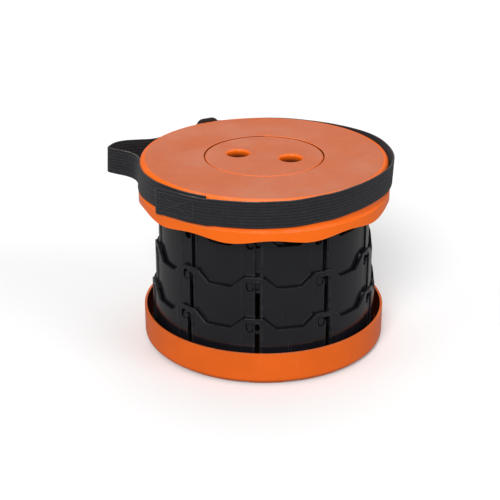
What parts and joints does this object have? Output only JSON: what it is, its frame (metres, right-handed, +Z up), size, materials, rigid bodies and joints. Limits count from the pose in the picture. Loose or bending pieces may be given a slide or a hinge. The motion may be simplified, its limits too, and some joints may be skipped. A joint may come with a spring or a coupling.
{
  "type": "telescopic camp stool",
  "caption": "Round telescopic camp stool: base tray, nested wave-edged plastic rings that pull out and lock, seat lid with finger holes, and a webbing carry strap.",
  "frame": {"origin": "centre of the base on the plane that its grip pads stand on", "axes": "+Z up along the telescoping axis, -Y to the front, +X to the right"},
  "size_m": [0.2917, 0.2546, 0.1965],
  "materials": {
    "tray_plastic": "smooth moulded orange",
    "lid_plastic": "fine spark-textured orange top with a smooth rim",
    "ring_plastic": "smooth moulded black",
    "pad_rubber": "soft dull orange",
    "strap_webbing": "woven charcoal webbing",
    "slider_plastic": "moulded black",
    "screw_steel": "zinc plated",
    "stitch_thread": "bonded sewing thread"
  },
  "bodies": {
    "base": {"base_tray": "tray_plastic", "base_grip_pads": "pad_rubber", "base_centre_pad": "pad_rubber", "base_screws": "screw_steel", "tier_ring_01": "ring_plastic"},
    "tier_2": {"tier_ring_02": "ring_plastic"},
    "tier_3": {"tier_ring_03": "ring_plastic"},
    "tier_4": {"tier_ring_04": "ring_plastic"},
    "tier_5": {"tier_ring_05": "ring_plastic"},
    "tier_6": {"tier_ring_06": "ring_plastic"},
    "tier_7": {"tier_ring_07": "ring_plastic"},
    "tier_8": {"tier_ring_08": "ring_plastic"},
    "tier_9": {"tier_ring_09": "ring_plastic"},
    "seat": {"tier_ring_10": "ring_plastic", "seat_lid": "lid_plastic", "centre_plate": "lid_plastic", "lid_screws": "screw_steel", "carry_strap": "strap_webbing", "strap_stitching": "stitch_thread", "strap_slider": "slider_plastic"}
  },
  "joints": [
    {"name": "tier_2_slide", "type": "slide", "parent": "base", "child": "tier_2", "axis": [0, 0, 1], "range_m": [-0.042, 0]},
    {"name": "tier_3_slide", "type": "slide", "parent": "tier_2", "child": "tier_3", "axis": [0, 0, 1], "range_m": [-0.042, 0]},
    {"name": "tier_4_slide", "type": "slide", "parent": "tier_3", "child": "tier_4", "axis": [0, 0, 1], "range_m": [0, 0.042]},
    {"name": "tier_5_slide", "type": "slide", "parent": "tier_4", "child": "tier_5", "axis": [0, 0, 1], "range_m": [0, 0.042]},
    {"name": "tier_6_slide", "type": "slide", "parent": "tier_5", "child": "tier_6", "axis": [0, 0, 1], "range_m": [0, 0.042]},
    {"name": "tier_7_slide", "type": "slide", "parent": "tier_6", "child": "tier_7", "axis": [0, 0, 1], "range_m": [0, 0.042]},
    {"name": "tier_8_slide", "type": "slide", "parent": "tier_7", "child": "tier_8", "axis": [0, 0, 1], "range_m": [0, 0.042]},
    {"name": "tier_9_slide", "type": "slide", "parent": "tier_8", "child": "tier_9", "axis": [0, 0, 1], "range_m": [0, 0.042]},
    {"name": "seat_slide", "type": "slide", "parent": "tier_9", "child": "seat", "axis": [0, 0, 1], "range_m": [-0.0392, 0]}
  ]
}
